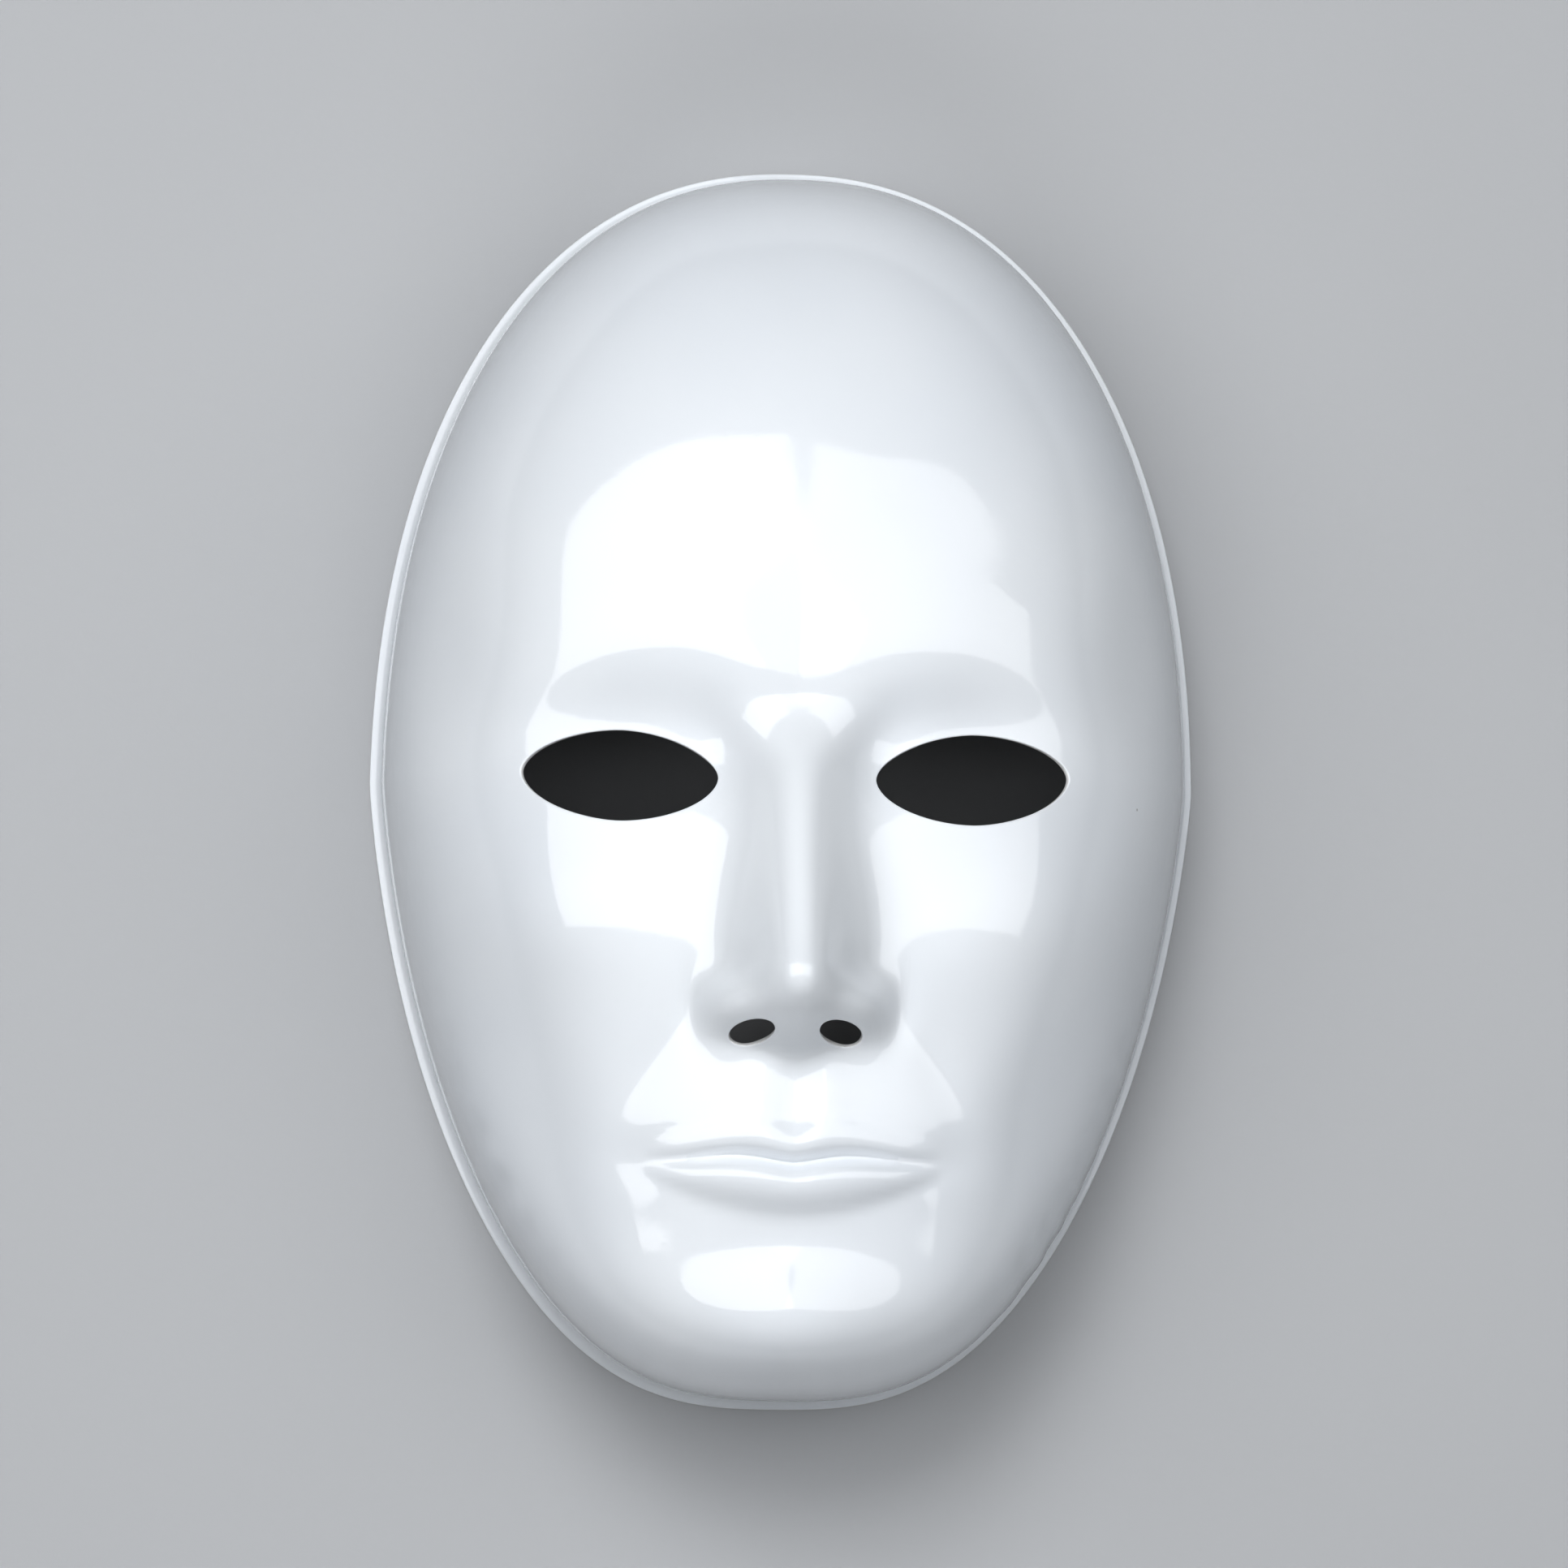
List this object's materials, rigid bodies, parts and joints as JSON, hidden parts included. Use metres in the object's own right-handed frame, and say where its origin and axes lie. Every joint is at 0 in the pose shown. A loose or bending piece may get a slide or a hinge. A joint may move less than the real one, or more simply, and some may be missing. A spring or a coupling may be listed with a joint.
{
  "type": "plastic face mask",
  "caption": "Thin glossy moulded full-face mask shell with almond eye openings, nostril holes and a flared flat-trimmed rim.",
  "frame": {"origin": "on the plane of the rim, at the middle of the outline, under the face", "axes": "+Z out of the face along the nose, +Y up the face to the forehead, +X towards the wearer's left, which is the viewer's right; the mask lies on its rim with the face up"},
  "size_m": [0.1628, 0.2448, 0.0955],
  "materials": {
    "white_plastic": "high gloss outside, satin inside"
  },
  "bodies": {
    "root": {"mask_shell": "white_plastic"}
  },
  "joints": []
}
